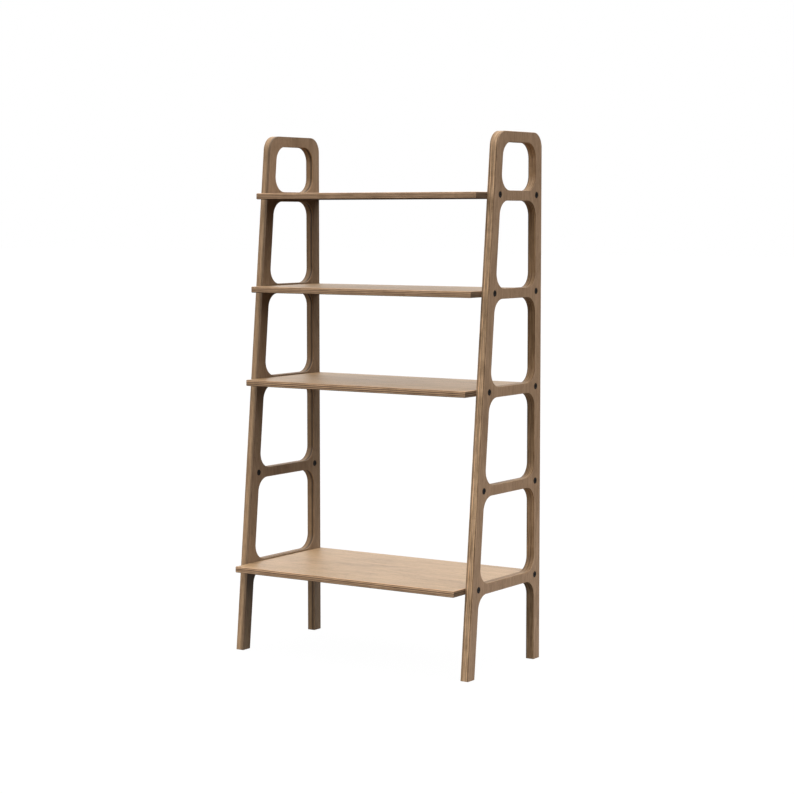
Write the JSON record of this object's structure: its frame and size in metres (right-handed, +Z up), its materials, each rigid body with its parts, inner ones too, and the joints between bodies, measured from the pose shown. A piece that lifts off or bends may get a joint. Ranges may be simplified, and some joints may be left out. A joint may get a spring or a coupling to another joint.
{
  "type": "ladder shelf",
  "caption": "Free-standing plywood ladder shelf: leaning-front ladder side panels with cut-out rungs, deeper shelves towards the floor, flush bolted joints.",
  "frame": {"origin": "middle of the bounding box's base, on the floor", "axes": "+Z up, +X to the shelf's right-hand side seen from the front, -Y towards its open front where the shelves reach out, +Y towards the wall"},
  "size_m": [0.9, 0.4804, 1.693],
  "materials": {
    "panel_wood": "brown-stained plywood, satin clear coat, grain upright, lighter layered edges",
    "shelf_wood": "brown-stained plywood, satin clear coat, grain along the shelf, layered edges",
    "black_steel": "satin black",
    "zinc_steel": "zinc plated"
  },
  "bodies": {
    "root": {"left_side_panel": "panel_wood", "right_side_panel": "panel_wood", "top_shelf": "shelf_wood", "second_shelf": "shelf_wood", "third_shelf": "shelf_wood", "bottom_shelf": "shelf_wood", "left_rung1_front_bolt": "black_steel", "left_rung1_front_barrel_nut": "zinc_steel", "left_rung1_rear_bolt": "black_steel", "left_rung1_rear_barrel_nut": "zinc_steel", "left_rung2_front_bolt": "black_steel", "left_rung2_front_barrel_nut": "zinc_steel", "left_rung2_rear_bolt": "black_steel", "left_rung2_rear_barrel_nut": "zinc_steel", "left_rung3_front_bolt": "black_steel", "left_rung3_front_barrel_nut": "zinc_steel", "left_rung3_rear_bolt": "black_steel", "left_rung3_rear_barrel_nut": "zinc_steel", "left_rung4_front_bolt": "black_steel", "left_rung4_front_sleeve_nut": "black_steel", "left_rung4_rear_bolt": "black_steel", "left_rung4_rear_sleeve_nut": "black_steel", "left_rung5_front_bolt": "black_steel", "left_rung5_front_barrel_nut": "zinc_steel", "left_rung5_rear_bolt": "black_steel", "left_rung5_rear_barrel_nut": "zinc_steel", "right_rung1_front_bolt": "black_steel", "right_rung1_front_barrel_nut": "zinc_steel", "right_rung1_rear_bolt": "black_steel", "right_rung1_rear_barrel_nut": "zinc_steel", "right_rung2_front_bolt": "black_steel", "right_rung2_front_barrel_nut": "zinc_steel", "right_rung2_rear_bolt": "black_steel", "right_rung2_rear_barrel_nut": "zinc_steel", "right_rung3_front_bolt": "black_steel", "right_rung3_front_barrel_nut": "zinc_steel", "right_rung3_rear_bolt": "black_steel", "right_rung3_rear_barrel_nut": "zinc_steel", "right_rung4_front_bolt": "black_steel", "right_rung4_front_sleeve_nut": "black_steel", "right_rung4_rear_bolt": "black_steel", "right_rung4_rear_sleeve_nut": "black_steel", "right_rung5_front_bolt": "black_steel", "right_rung5_front_barrel_nut": "zinc_steel", "right_rung5_rear_bolt": "black_steel", "right_rung5_rear_barrel_nut": "zinc_steel"}
  },
  "joints": []
}
